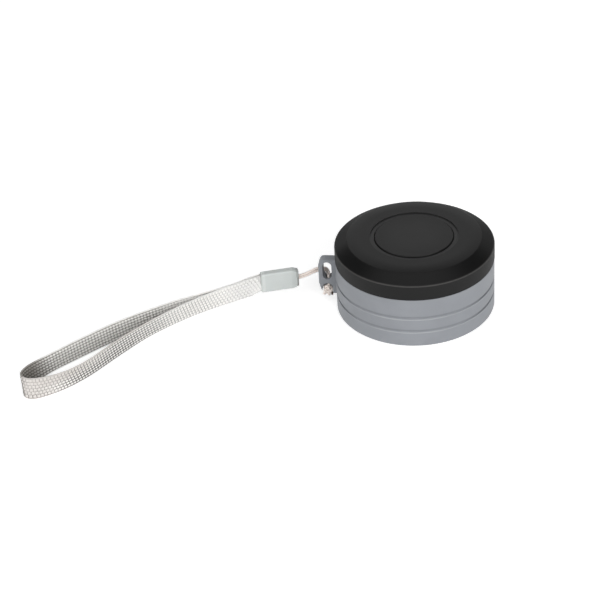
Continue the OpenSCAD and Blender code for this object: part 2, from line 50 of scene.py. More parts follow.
# Sizes of the case in millimetres, as the CAD has them
BODY_R, CAP_R, BUTTON_R, CASE_H = 29.9, 30.0, 14.75, 29.6
BEVEL_W, BEVEL_H, CHANNEL_W = 4.8, 3.3, 1.9
GROOVES = (6.7, 12.4)  # heights of the grip grooves' middles


# Node trees

class Value:
    """An output of a node tree. Operators on numbers add Math nodes."""

    def __init__(self, tree, socket):
        self.tree, self.socket = tree, socket

    def __add__(self, other):
        return self.tree.maths("ADD", self, other)

    def __radd__(self, other):
        return self.tree.maths("ADD", other, self)

    def __sub__(self, other):
        return self.tree.maths("SUBTRACT", self, other)

    def __rsub__(self, other):
        return self.tree.maths("SUBTRACT", other, self)

    def __mul__(self, other):
        return self.tree.maths("MULTIPLY", self, other)

    def __rmul__(self, other):
        return self.tree.maths("MULTIPLY", other, self)

    def __truediv__(self, other):
        return self.tree.maths("DIVIDE", self, other)

    def __rtruediv__(self, other):
        return self.tree.maths("DIVIDE", other, self)

    def __pow__(self, other):
        return self.tree.maths("POWER", self, other)

    def __rpow__(self, other):
        return self.tree.maths("POWER", other, self)

    def __abs__(self):
        return self.tree.maths("ABSOLUTE", self)


class Nodes:
    """A node tree that is filled by one method."""

    def __init__(self, tree):
        self.tree = tree

    def node(self, kind, settings=None, values=None, out=0):
        """Adds a node and returns its output, or the node itself where it has none."""
        made = self.tree.nodes.new(kind)
        for key, value in (settings or {}).items():
            setattr(made, key, value)
        for key, value in (values or {}).items():
            if isinstance(value, Value):
                self.tree.links.new(value.socket, made.inputs[key])
            else:
                made.inputs[key].default_value = value
        return Value(self, made.outputs[out]) if len(made.outputs) else made

    def maths(self, operation, *terms):
        """A Math node: those that Value's operators add, and those without an operator."""
        return self.node("ShaderNodeMath", {"operation": operation}, dict(enumerate(terms)))

    def axis(self, vector, letter):
        """One coordinate of a vector."""
        return self.node("ShaderNodeSeparateXYZ", {}, {0: vector}, letter)

    def stripe(self, value, middle, half, edge):
        """1 where value is within half of middle, falling to 0 over edge."""
        return self.node("ShaderNodeMapRange", {"interpolation_type": "SMOOTHSTEP"},
                         {"Value": abs(value - middle), "From Min": half, "From Max": half + edge,
                          "To Min": 1.0, "To Max": 0.0})

    def step(self, value, low, high):
        """0 below low, 1 above high."""
        return self.node("ShaderNodeMapRange", {"interpolation_type": "SMOOTHSTEP"},
                         {"Value": value, "From Min": low, "From Max": high,
                          "To Min": 0.0, "To Max": 1.0})


class Finish(Nodes):
    """One material."""

    def __init__(self, name):
        self.material = bpy.data.materials.new(name)
        self.material.use_nodes = True
        super().__init__(self.material.node_tree)
        self.tree.nodes.clear()

    def place(self, scale=(1.0, 1.0, 1.0)):
        """Object coordinates in millimetres, stretched by scale."""
        where = self.node("ShaderNodeTexCoord", out="Object")
        return self.node("ShaderNodeMapping", {"vector_type": "POINT"},
                         {"Vector": where, "Scale": [s / MM for s in scale]})

    def from_axis(self, where):
        """Distance from the case's axis."""
        flat = self.node("ShaderNodeVectorMath", {"operation": "MULTIPLY"},
                         {0: where, 1: (1.0, 1.0, 0.0)})
        return self.node("ShaderNodeVectorMath", {"operation": "LENGTH"}, {0: flat}, "Value")

    def noise(self, vector, per_mm, detail=2.0, rough=0.5):
        """Noise from 0 to 1, with about per_mm grains to each unit of vector."""
        return self.node("ShaderNodeTexNoise", {"noise_dimensions": "3D"},
                         {"Vector": vector, "Scale": per_mm, "Detail": detail, "Roughness": rough},
                         "Fac")

    def mix(self, share, first, second):
        """Two colours mixed. 6, 7 and 2 are the Mix node's sockets for colours."""
        return self.node("ShaderNodeMix", {"data_type": "RGBA"}, {0: share, 6: first, 7: second}, 2)

    def bump(self, height, depth_mm):
        """A relief, height times depth_mm."""
        return self.node("ShaderNodeBump", {},
                         {"Height": height, "Distance": depth_mm * MM, "Strength": 1.0}, "Normal")

    def surface(self, values):
        """Ends the material in a Principled shader with these values."""
        shader = self.node("ShaderNodeBsdfPrincipled", {}, values)
        self.node("ShaderNodeOutputMaterial", {}, {"Surface": shader})
        return self.material


def colour(red, green, blue):
    """A colour as it is seen, 0 to 255, as the shader's linear one."""
    def linear(c):
        c /= 255.0
        return c / 12.92 if c <= 0.04045 else ((c + 0.055) / 1.055) ** 2.4
    return (linear(red), linear(green), linear(blue), 1.0)


# Camera

CAMERA_AT = Vector((60.25, -595.241, 402.999))
CAMERA_TURN = (56.175, 3.179, 7.872)  # degrees about X, Y and Z
LENS = 113.142


def set_camera():
    data = bpy.data.cameras.new("camera")
    data.sensor_width, data.lens = 36.0, LENS
    data.clip_start, data.clip_end = 0.01, 50.0
    camera = bpy.data.objects.new("camera", data)
    bpy.context.scene.collection.objects.link(camera)
    camera.location = CAMERA_AT * MM
    camera.rotation_euler = [math.radians(a) for a in CAMERA_TURN]
    bpy.context.scene.camera = camera


set_camera()


# Routes of the strap

def smooth(points, n):
    """A curve through the points, with n steps from each to the next."""
    p = np.asarray(points, float)
    out = []
    for i in range(len(p) - 1):
        a, b, c, d = p[max(0, i - 1)], p[i], p[i + 1], p[min(len(p) - 1, i + 2)]
        for k in range(n):
            t = k / n
            out.append((2 * b + (c - a) * t + (2 * a - 5 * b + 4 * c - d) * t ** 2
                        + (3 * b - a - 3 * c + d) * t ** 3) / 2)
    return np.array(out + [p[-1]])


def unit(v):
    """The vector, or each of them, at length 1."""
    v = np.asarray(v, float)
    return v / np.linalg.norm(v, axis=-1, keepdims=True)


def run_length(points):
    """Distance along the points, at each of them."""
    return np.concatenate([[0], np.cumsum(np.linalg.norm(np.diff(points, axis=0), axis=1))])


# The clamp: the middle of its mouth, how it is rolled and turned, and its length
CLAMP_MOUTH = np.array([-58.9, -3.0, 8.6])
CLAMP_ROLL, CLAMP_YAW = math.radians(5), math.radians(18)
CLAMP_TURN = np.array(Matrix.Rotation(CLAMP_YAW, 3, "Z") @ Matrix.Rotation(CLAMP_ROLL, 3, "X"))
CLAMP_L = 14.6


def in_clamp(x, y, z):
    """A point given from the clamp's mouth, with x towards its nose."""
    return CLAMP_MOUTH + CLAMP_TURN @ np.array([x, y, z], float)


# Lower edge of the webbing: x, y, z and its lean out of the loop, in degrees
WEB_ROUTE = [
    (-62.6, -4.1, 2.8, 6), (-66.9, -5.1, 1.7, 7), (-74.9, -8.4, 0.4, 9), (-82.9, -14, 0, 11),
    (-90.9, -21.5, 0, 13), (-97.9, -29.3, 0, 14), (-103.9, -37.7, 0, 12), (-109.4, -46.4, 0, 10),
    (-114.9, -55.2, 0, 11), (-121, -62.7, 0, 9), (-127, -67.8, 0, 2), (-131.8, -70.5, 0, -7),
    (-135.2, -69.9, 0, -6), (-136.5, -66.5, 0, 3), (-135.2, -62.1, 0, 3), (-132.2, -57.4, 0, 0),
    (-127.8, -51.6, 0, -4), (-122.6, -45.9, 0, -2), (-116.5, -39.3, 0, -2), (-110, -32.7, 0, -2),
    (-103.5, -26.7, 0, -4), (-96.9, -21.2, 0, -6), (-89.9, -15.7, 0, -8), (-82.3, -10.9, 0, -10),
    (-74.5, -7, 0.4, -9), (-66.6, -4, 1.6, -8), (-62.4, -2.9, 2.8, -7)]
# The webbing's width and thickness, its width in the clamp, and how far the clamp holds it
WEB_W, WEB_T, WEB_IN, WEB_GRIP = 8.5, 0.8, 7.5, 7.0
LAYER_Y = 0.55  # each layer's distance from the clamp's middle


def web_edges():
    """Lower and upper edge of the webbing from end to end, in the clamp too."""
    lower, upper = [], []

    def in_grip(x, y):
        lower.append(in_clamp(x, y, -WEB_IN / 2))
        upper.append(in_clamp(x, y, WEB_IN / 2))

    for x in (WEB_GRIP, WEB_GRIP / 2, 0):
        in_grip(x, -LAYER_Y)
    line = smooth(WEB_ROUTE, 2)
    for i, (x, y, z, lean) in enumerate(line):
        along = unit(line[min(i + 1, len(line) - 1)][:3] - line[max(i - 1, 0)][:3])
        out = unit(np.cross((0, 0, 1), along))
        rise = np.cross(out, along)
        rise = rise * np.sign(rise[2])
        lean = math.radians(lean)
        rise = rise * math.cos(lean) + out * math.sin(lean)
        face = unit(np.cross(along, rise))
        foot = np.array([x, y, max(0.0, z) + abs(face[2]) * WEB_T / 2])
        lower.append(foot)
        upper.append(foot + rise * WEB_W)
    for x in (0, WEB_GRIP / 2, WEB_GRIP):
        in_grip(x, LAYER_Y)
    return smooth(lower, 8), smooth(upper, 8)


class Webbing:
    """The webbing's middle surface: a place for each distance along and share across."""

    def __init__(self):
        self.lower, self.upper = web_edges()
        self.middle = (self.lower + self.upper) / 2
        self.run = run_length(self.middle)
        self.length = self.run[-1]

    def at(self, s, table):
        """Points of one edge or of the middle, at distances s along."""
        return np.stack([np.interp(s, self.run, table[:, k]) for k in range(3)], -1)

    def section(self, s):
        """Lower edge, vector across, direction along and direction out of the loop."""
        s = np.asarray(s, float)
        low, high = self.at(s, self.lower), self.at(s, self.upper)
        along = unit(self.at(s + 0.3, self.middle) - self.at(s - 0.3, self.middle))
        across = high - low
        return low, across, along, unit(np.cross(across, along))

    def line(self, s, share, height):
        """Points along the webbing, at one share across and one height out of it."""
        low, across, _, out = self.section(s)
        return low + across * share + out * height


webbing = Webbing()
# Upper and lower strands of the cord, from the knot to the clamp's nose
UPPER_STRAND = [(-33, 0.15, 5.8), (-32.95, 0.45, 7.6), (-32.95, 0.55, 8.8), (-32.9, 0.65, 10.2),
                (-33, 1, 11.4), (-33.55, 1.7, 12.2), (-34.35, 2.5, 12.3), (-35.4, 3.1, 12.05),
                (-36.7, 3.45, 11.8), (-38.2, 3.4, 11.4), (-40.3, 2.8, 10.5), (-42.8, 2.15, 9.55)]
LOWER_STRAND = [(-33, -0.95, 5.8), (-32.95, -0.65, 7.6), (-32.95, -0.55, 8.8),
                (-32.95, -0.45, 9.95), (-33.15, 0.1, 10.75), (-33.45, 1.1, 11), (-33.85, 2, 11.1),
                (-34.45, 2.8, 11.05), (-35.45, 3.3, 10.95), (-36.9, 3.45, 10.65),
                (-38.3, 3.35, 10.2), (-40.4, 2.8, 9.4), (-42.9, 2.15, 8.45)]
CORD_D = 1.0
# In the clamp: the post's place, the cord's turn round it, each strand's distance from the
# middle, and the length of the nose that keeps them so
POST_X, TURN_R, STRAND, NOSE_L = CLAMP_L - 4.4, 2.0, 0.55, 1.2


def cord_route():
    """The cord from the knot, out through the lug, round the clamp's post and back."""
    turn = [in_clamp(POST_X + TURN_R * math.cos(math.radians(a)), 0,
                     TURN_R * math.sin(math.radians(a))) for a in range(60, 301, 30)]
    up = [in_clamp(x, 0, STRAND) for x in (CLAMP_L, CLAMP_L - NOSE_L)]
    down = [in_clamp(x, 0, -STRAND) for x in (CLAMP_L - NOSE_L, CLAMP_L)]
    return smooth(UPPER_STRAND + up + turn + down + LOWER_STRAND[::-1], 8)


# Meshes

def smooth_mesh(name, points_mm, faces, uv=None):
    """A mesh with smooth faces. uv has one entry for each corner of a face."""
    mesh = bpy.data.meshes.new(name)
    mesh.from_pydata((np.asarray(points_mm) * MM).tolist(), [], faces)
    if uv is not None:
        mesh.uv_layers.new(name="UVMap").data.foreach_set("uv", np.asarray(uv, float).ravel())
    mesh.polygons.foreach_set("use_smooth", [True] * len(mesh.polygons))
    return mesh


def piece(name, points_mm, faces, finish, uv=None):
    """A mesh object at the origin, in one finish."""
    mesh = smooth_mesh(name, points_mm, faces, uv)
    mesh.materials.append(finish)
    made = bpy.data.objects.new(name, mesh)
    bpy.context.scene.collection.objects.link(made)
    return made


def ring_faces(rings, around, closed):
    """Faces, with their uv, of rings of points, joined to each other and closed at the ends."""
    faces, uv = [], []
    for i in range(rings if closed else rings - 1):
        k = (i + 1) % rings
        for j in range(around):
            q = (j + 1) % around
            faces.append((i * around + j, i * around + q, k * around + q, k * around + j))
            uv += [(i, j), (i, j + 1), (i + 1, j + 1), (i + 1, j)]
    if not closed:
        faces.append(tuple(range(around - 1, -1, -1)))
        uv += [(0, j) for j in range(around - 1, -1, -1)]
        faces.append(tuple((rings - 1) * around + j for j in range(around)))
        uv += [(rings - 1, j) for j in range(around)]
    return faces, np.array(uv, float)


def turned_over(faces, uv):
    """The faces with their corners reversed, and their uv."""
    turned, i = [], 0
    for face in faces:
        turned.append(uv[i:i + len(face)][::-1])
        i += len(face)
    return [face[::-1] for face in faces], np.concatenate(turned)


def tube(route, radius, around, closed=False):
    """Rings of points round a route. radius is a number or a function of distance and angle."""
    s = run_length(route)
    ahead = np.roll(route, -1, 0) if closed else np.vstack([route[1:], route[-1:]])
    behind = np.roll(route, 1, 0) if closed else np.vstack([route[:1], route[:-1]])
    along = unit(ahead - behind)
    side = np.zeros_like(route)
    v = np.array([1.0, 0.2, 0.1])
    for i, t in enumerate(along):
        v = unit(v - t * (v @ t))
        side[i] = v
    other = np.cross(along, side)
    if closed:
        # the direction carried round comes back turned: the turn is taken out evenly
        v = side[-1] - along[0] * (side[-1] @ along[0])
        off = math.atan2(v @ other[0], v @ side[0])
        a = -off * np.arange(len(route)) / len(route)
        c, n = np.cos(a)[:, None], np.sin(a)[:, None]
        side, other = side * c + other * n, other * c - side * n
    angle = 2 * math.pi * np.arange(around) / around
    if callable(radius):
        far = radius(s[:, None], angle[None])
    else:
        far = np.full((len(s), around), radius)
    rings = (route[:, None] + far[..., None] * (np.cos(angle)[None, :, None] * side[:, None]
                                                + np.sin(angle)[None, :, None] * other[:, None]))
    return rings.reshape(-1, 3)


def even(route, step):
    """The route with points a step apart."""
    s = run_length(route)
    n = max(2, int(round(s[-1] / step)))
    t = np.linspace(0, s[-1], n + 1)
    return np.stack([np.interp(t, s, route[:, k]) for k in range(3)], -1)


# The braid: points round it, strands each way, their lay and how deep their crossings are
BRAID_SIDES, BRAID_WAYS, BRAID_LAY, BRAID_DEPTH = 24, 4, 2.4, 0.08
DIAMONDS_PER_MM = 1.2  # of the braid's colours


def braided(name, route, diameter, finish, closed=False, step=0.085):
    """A braided cord: eight strands that cross in diamonds. Returns it and its route."""
    route = even(np.asarray(route, float), step)
    if closed:
        route = route[:-1]

    def radius(s, a):
        twist = math.pi * s / BRAID_LAY
        over = np.cos(BRAID_WAYS * (a + twist)) * np.cos(BRAID_WAYS * (a - twist))
        return diameter / 2 * (1 - BRAID_DEPTH + BRAID_DEPTH * np.sqrt(np.abs(over)))

    points = tube(route, radius, BRAID_SIDES, closed)
    faces, uv = ring_faces(len(route), BRAID_SIDES, closed)
    uv[:, 0] *= step
    uv[:, 1] *= math.pi * diameter / BRAID_SIDES
    return piece(name, points, faces, finish, uv), route


def modelled(maker, name, points_mm, attributes, inputs, finish):
    """The mesh that a geometry tree makes from points with vector attributes."""
    mesh = bpy.data.meshes.new(name)
    mesh.from_pydata((np.asarray(points_mm) * MM).tolist(), [], [])
    for key, values in attributes.items():
        mesh.attributes.new(key, "FLOAT_VECTOR", "POINT").data.foreach_set(
            "vector", np.asarray(values, float).ravel())
    seat = bpy.data.objects.new(name, mesh)
    bpy.context.scene.collection.objects.link(seat)
    modifier = seat.modifiers.new("maker", "NODES")
    modifier.node_group = maker.tree
    sockets = {x.name: x.identifier for x in maker.tree.interface.items_tree
               if x.in_out == "INPUT"}
    for key, value in {**inputs, "Finish": finish}.items():
        modifier[sockets[key]] = value
    bpy.context.view_layer.update()
    solid = bpy.data.meshes.new_from_object(
        seat.evaluated_get(bpy.context.evaluated_depsgraph_get()))
    bpy.data.objects.remove(seat)
    return solid


def joined(base, mesh, finish):
    """Adds a mesh, in its own finish, to a piece. What is open below is closed."""
    solid = bmesh.new()
    solid.from_mesh(base.data)
    first = len(solid.faces)
    solid.from_mesh(mesh)
    rims = [edge for edge in solid.edges if edge.is_boundary]
    for edge in rims:
        edge.smooth = False
    closed = bmesh.ops.holes_fill(solid, edges=rims, sides=0)
    bmesh.ops.poke(solid, faces=closed["faces"])
    solid.faces.ensure_lookup_table()
    if finish.name not in base.data.materials:
        base.data.materials.append(finish)
    for face in solid.faces[first:]:
        face.material_index = base.data.materials.find(finish.name)
        face.smooth = True
    solid.to_mesh(base.data)
    solid.free()
    bpy.data.meshes.remove(mesh)


FLOAT_GRID = (7, 6)  # points along and across a float
FLOAT_ROUNDING = (0.55, 0.45)  # how it falls towards its ends and its sides, 0.5 being round


def float_maker():
    """Geometry nodes: one crowned yarn float on every seat, turned along its warp."""
    maker = Nodes(bpy.data.node_groups.new("yarn_floats", "GeometryNodeTree"))
    face = maker.tree.interface
    face.new_socket("Seats", in_out="INPUT", socket_type="NodeSocketGeometry")
    for name in ("Float length", "Float width", "Crown"):
        face.new_socket(name, in_out="INPUT", socket_type="NodeSocketFloat")
    face.new_socket("Finish", in_out="INPUT", socket_type="NodeSocketMaterial")
    face.new_socket("Weave", in_out="OUTPUT", socket_type="NodeSocketGeometry")
    given = maker.node("NodeGroupInput").socket.node
    seats, length, width, crown, finish = (Value(maker, given.outputs[k]) for k in range(5))
    flat = maker.node("GeometryNodeMeshGrid", {},
                      {"Vertices X": FLOAT_GRID[0], "Vertices Y": FLOAT_GRID[1],
                       "Size X": length, "Size Y": width}, "Mesh")
    where = maker.node("GeometryNodeInputPosition")
    x = maker.axis(where, "X") / length * 2.0
    y = maker.axis(where, "Y") / width * 2.0
    to_ends, to_sides = FLOAT_ROUNDING
    rise = crown * (1.0 - x * x) ** to_ends * (1.0 - y * y) ** to_sides
    lift = maker.node("ShaderNodeCombineXYZ", {}, {"Z": rise})
    pillow = maker.node("GeometryNodeSetPosition", {}, {"Geometry": flat, "Offset": lift})
    pillow = maker.node("GeometryNodeStoreNamedAttribute",
                        {"data_type": "FLOAT2", "domain": "CORNER"},
                        {"Geometry": pillow, "Name": "UVMap",
                         "Value": Value(maker, flat.socket.node.outputs["UV Map"])})
    pillow = maker.node("GeometryNodeSetShadeSmooth", {}, {"Geometry": pillow})

    def seat(key):
        return maker.node("GeometryNodeInputNamedAttribute", {"data_type": "FLOAT_VECTOR"},
                          {"Name": key})
    turned = maker.node("FunctionNodeAxesToRotation", {"primary_axis": "Z", "secondary_axis": "X"},
                        {"Primary Axis": seat("out"), "Secondary Axis": seat("along")})
    woven = maker.node("GeometryNodeInstanceOnPoints", {},
                       {"Points": seats, "Instance": pillow, "Rotation": turned,
                        "Scale": seat("size")})
    woven = maker.node("GeometryNodeRealizeInstances", {}, {"Geometry": woven})
    woven = maker.node("GeometryNodeSetMaterial", {}, {"Geometry": woven, "Material": finish})
    maker.node("NodeGroupOutput", {}, {0: woven})
    return maker


# Finishes

class Moulded(Finish):
    """Moulded plastic with a spark-eroded grain. cloud is how far its tone drifts."""

    def __init__(self, name, tone, grain, depth, rough, specular, spread, cloud):
        super().__init__(name)
        self.where = self.place()
        fine = self.noise(self.where, grain, 3.0, 0.6)
        slow = self.noise(self.where, 0.12, 2.0)
        drift = cloud * 0.12
        darker = [c * (1 - drift) for c in tone[:3]] + [1.0]
        lighter = [min(1.0, c * (1 + drift)) for c in tone[:3]] + [1.0]
        self.base = self.mix(self.step(slow, 0.3, 0.7), darker, lighter)
        self.roughness = rough + (fine - 0.5) * (spread * 2) + (slow - 0.5) * spread
        self.normal = self.bump(fine, depth)
        self.specular = specular

    def tint(self, share, tone):
        """Lays a tone over what is there."""
        self.base = self.mix(share, self.base, tone)

    def plastic(self):
        """The finished material."""
        return self.surface({"Base Color": self.base, "Roughness": self.roughness,
                             "Normal": self.normal, "Specular IOR Level": self.specular,
                             "IOR": 1.45})


def body_finish():
    """Grey wall: painted shade and dust in the grooves, painted shade on their lower flanks away
    from the front, a painted highlight on their lower lips, most of all in front, and scuffs at the
    foot."""
    f = Moulded("body_grey", colour(143, 146, 151), grain=6.0, depth=0.010, rough=0.5,
                specular=0.35, spread=0.05, cloud=0.25)
    y, z = f.axis(f.where, "Y"), f.axis(f.where, "Z")
    far = f.from_axis(f.where)

    def round_grooves(above, half, edge):
        """A stripe along both grooves, at a height above their middles."""
        low, high = (f.stripe(z, middle + above, half, edge) for middle in GROOVES)
        return low + high

    sunk = 1.0 - f.step(far, BODY_R - 0.3, BODY_R - 0.02)
    # painted shade and dust along the grooves, just above their middles
    f.tint(round_grooves(0.15, 0.3, 0.25) * sunk * 0.28, colour(104, 106, 110))
    # painted shade on the grooves' lower flanks, growing away from the front
    shade_aside = f.step(y, -24.0, -12.0)
    f.tint(round_grooves(-0.45, 0.3, 0.1) * sunk * shade_aside * 0.6, colour(84, 86, 90))
    # painted highlight on the grooves' lower lips, strongest in front
    wall = 1.0 - f.step(far, BODY_R + 0.05, BODY_R + 0.15)
    lip_highlight = 0.38 - 0.2 * f.step(y, -29.0, -25.0)
    f.tint(round_grooves(-0.76, 0.12, 0.12) * wall * lip_highlight, colour(190, 192, 195))
    scuff = f.step(f.noise(f.where, 1.3, 4.0, 0.7), 0.55, 0.75) * f.step(2.0 - z, 0.8, 1.8)
    f.tint(scuff * 0.25, colour(176, 178, 181))
    f.roughness = f.roughness + scuff * 0.1
    return f.plastic()


def cap_finish(name, rub):
    """Black top: a painted highlight along the slope's lower edge, painted light in the ring
    channel, and rub, the polish left by thumbs.
    """
    f = Moulded(name, colour(15, 15, 15), grain=5.0, depth=0.014, rough=0.46,
                specular=0.3, spread=0.05, cloud=0.4)
    y, z = f.axis(f.where, "Y"), f.axis(f.where, "Z")
    far = f.from_axis(f.where)
    # painted highlight along the lower edge of the slope
    edge_highlight = f.stripe(z, CASE_H - BEVEL_H, 0.12, 0.2) * f.step(far, CAP_R - 0.8, CAP_R - 0.4)
    f.tint(edge_highlight * (0.4 + 0.3 * f.noise(f.where, 0.3, 2.0)), colour(80, 79, 78))
    inner, outer = BUTTON_R, BUTTON_R + CHANNEL_W
    # painted light in the ring channel, lifting it out of its shade
    channel_light = f.step(far, inner + 0.01, inner + 0.07) * (1.0 - f.step(far, outer + 0.01, outer + 0.11))
    f.tint(channel_light, colour(40, 40, 40))
    hair = f.noise(f.place((0.25, 5.0, 1.0)), 1.0, 2.0, 0.8)
    scratched = f.step(hair, 0.68, 0.74) * 0.04
    polish = rub * (1.0 - f.step(far, 4.0, 16.0))
    side = f.step(far, CAP_R - 0.3, CAP_R - 0.05) * 0.14
    # the slope is duller at the back and glossier in front
    top = CAP_R - BEVEL_W
    slope = f.step(far, top, top + 0.3) * (1.0 - f.step(far, CAP_R - 0.5, CAP_R - 0.2))
    slope = slope * (0.25 - 0.37 * (1.0 - f.step(y, -14.0, 6.0)))
    f.roughness = f.roughness - polish + scratched + side + slope
    return f.plastic()


def clamp_finish():
    """Light grey clamp: painted shade at the nose, in its opening and on its turned end, and a paler
    lip at the mouth.
    """
    f = Moulded("clamp_plastic", colour(201, 206, 204), grain=4.0, depth=0.010, rough=0.42,
                specular=0.4, spread=0.05, cloud=0.2)
    own = f.node("ShaderNodeMapping", {"vector_type": "TEXTURE"},
                 {"Vector": f.where, "Location": CLAMP_MOUTH.tolist(),
                  "Rotation": (CLAMP_ROLL, 0.0, CLAMP_YAW)})
    along, high = f.axis(own, "X"), f.step(f.axis(own, "Z"), 0.3, 1.3)
    # painted shade in the nose's opening, below the cord
    opening_shade = f.step(along, CLAMP_L - 0.75, CLAMP_L - 0.45) * (1.0 - high)
    f.tint(opening_shade * 0.75, colour(110, 106, 102))
    # painted shade on the nose's turned end, above the opening
    turned = f.step(along, CLAMP_L - 1.2, CLAMP_L - 0.8) * high
    f.tint(turned * 0.45, colour(130, 132, 131))
    f.tint(f.stripe(along, 0.9, 0.5, 0.3) * 0.3, colour(222, 226, 224))
    f.normal = f.node("ShaderNodeBevel", {"samples": 6}, {"Radius": 0.45 * MM, "Normal": f.normal})
    return f.plastic()


def inner_finish(name, tone):
    """The plain moulding of the base cover and the pieces inside."""
    return Moulded(name, tone, grain=3.0, depth=0.008, rough=0.4,
                   specular=0.45, spread=0.05, cloud=0.3).plastic()


def steel_finish(name, tone, rough, stretch):
    """Drawn or rolled steel with fine lines along its working."""
    f = Finish(name)
    line = f.noise(f.place(stretch), 3.0, 3.0, 0.6)
    slow = f.noise(f.place(), 0.5, 2.0)
    base = f.mix(f.step(slow, 0.35, 0.7), tone, [c * 0.86 for c in tone[:3]] + [1.0])
    return f.surface({"Base Color": base, "Metallic": 1.0,
                      "Roughness": rough + (line - 0.5) * 0.12, "Normal": f.bump(line, 0.004)})


def cord_finish(name, light, dark):
    """Braided yarn: diamonds of strands with painted shade at their crossings, and fine filaments.
    """
    f = Finish(name)
    uv = f.node("ShaderNodeUVMap", {"uv_map": "UVMap"})
    along, round_it = f.axis(uv, "X") * (DIAMONDS_PER_MM * math.pi), f.axis(uv, "Y") * BRAID_WAYS
    over = abs(f.maths("COSINE", along + round_it) * f.maths("COSINE", along - round_it))
    hair = f.noise(f.place(), 9.0, 3.0, 0.7)
    speck = f.step(f.noise(f.place(), 2.2, 3.0), 0.5, 0.72)
    # painted shade: the dark tone along the strands' crossings
    base = f.mix(f.step(over, 0.02, 0.35), dark, light)
    base = f.mix(speck * 0.3, base, dark)
    return f.surface({"Base Color": base, "Roughness": 0.75 + (hair - 0.5) * 0.2,
                      "Normal": f.bump(hair, 0.03), "Specular IOR Level": 0.25,
                      "Sheen Weight": 0.15, "Sheen Roughness": 0.5})


def painted_light_by_place(f, tones):
    """A colour that changes along X: painted light and shade along the webbing. After the first
    colour, each entry is a place in mm, half the change's width and the colour from there."""
    x = f.axis(f.place(), "X")
    tone = tones[0]
    for at, half, following in tones[1:]:
        tone = f.mix(f.step(x, at - half, at + half), tone, following)
    return tone


def yarn_finish(name, lower, upper):
    """Bright warp floats: filaments along the float. One row of tones near the floor, one above,
    painted light and shade along the webbing.
    """
    f = Finish(name)
    uv = f.node("ShaderNodeUVMap", {"uv_map": "UVMap"})
    strands = f.node("ShaderNodeMapping", {}, {"Vector": uv, "Scale": (0.6, 7.0, 1.0)})
    line = f.noise(strands, 1.0, 2.0, 0.6)
    z = f.axis(f.place(), "Z")
    tone = f.mix(f.step(z, 3.0, 6.0), painted_light_by_place(f, lower), painted_light_by_place(f, upper))
    base = f.mix((1.0 - f.step(line, 0.3, 0.6)) * 0.25, tone, colour(206, 203, 199))
    return f.surface({"Base Color": base, "Roughness": 0.55 + (line - 0.5) * 0.2,
                      "Normal": f.bump(line, 0.03), "Specular IOR Level": 0.35,
                      "Sheen Weight": 0.1, "Sheen Roughness": 0.4})


WEFT_PITCH = 0.667


def ground_finish(name, lower, upper):
    """The weave's ground between the floats: weft crossing the webbing, in shade.
    It has one row of tones for the lower half of the webbing's width and one for the upper, painted
    light and shade along the webbing."""
    f = Finish(name)
    uv = f.node("ShaderNodeUVMap", {"uv_map": "UVMap"})
    along, share = f.axis(uv, "X"), f.axis(uv, "Y")
    weft = 0.5 + 0.5 * f.maths("SINE", along * (2 * math.pi / WEFT_PITCH))
    hair = f.noise(f.place(), 6.0, 3.0, 0.7)
    tone = f.mix(f.step(share, 0.35, 0.7), painted_light_by_place(f, lower), painted_light_by_place(f, upper))
    base = f.mix((1.0 - weft * 0.6 - hair * 0.4) * 0.35, tone, colour(96, 93, 90))
    return f.surface({"Base Color": base, "Roughness": 0.8 + (hair - 0.5) * 0.1,
                      "Normal": f.bump(weft * 0.7 + hair * 0.3, 0.06), "Specular IOR Level": 0.2})


# The strap

# The weave: its pitch at the selvedges, the floats across, the rows in a run, and those of them
# in which the lean changes at the loop's end
WARP_PITCH, WARP_ENDS, RUN_ROWS, END_ROWS = 1.3356, 6, 80, 15
FIRST_WARP = 0.045  # share of the width below the lowest float
FLOAT_L, FLOAT_W, FLOAT_CROWN, FLOAT_SINK = 1.14, 0.92, 0.26, 0.03
GROUND_HALF, GROUND_STEP = 0.21, 0.33  # half the ground's thickness, and the step of its rings
# Half a selvedge's width and thickness, the step of its rings and the points round it
SELVEDGE_W, SELVEDGE_T, SELVEDGE_STEP, SELVEDGE_SIDES = 0.2, 0.36, 0.4, 8
FLOAT_GAP, SELVEDGE_GAP = 0.2, 0.3  # from the clamp's mouth to the first float and the selvedge
# A run's weave: the lean of its rows, that at the loop's end, the tilt of each float,
# the share of the width that the floats reach, and the size of a float by place
Weave = namedtuple("Weave", "lean end_lean tilt top float_size")


def rising(value, low, high):
    """0 below low, 1 above high, smooth between."""
    t = min(1.0, max(0.0, (value - low) / (high - low)))
    return t * t * (3 - 2 * t)


def front_float(x, share):
    """Length and width of a float of the front run, in shares of the plain float's."""
    end, near = 1 - rising(x, -127, -117), rising(x, -96, -86)
    high = rising(share, 0.35, 0.65) * (1 - rising(x, -114, -106))
    middle = 1 - end - near
    return (1.04 * end + (0.88 + 0.08 * rising(x, -78, -68)) * near + 0.93 * middle,
            1.28 * end + 1.3 * near + (0.84 + 0.42 * high) * middle)


def back_float(x, share):
    """The same for the back run, where share makes no difference."""
    end, near = 1 - rising(x, -133, -126), rising(x, -98, -84)
    return 1.02, 0.9 + 0.26 * near - 0.1 * end


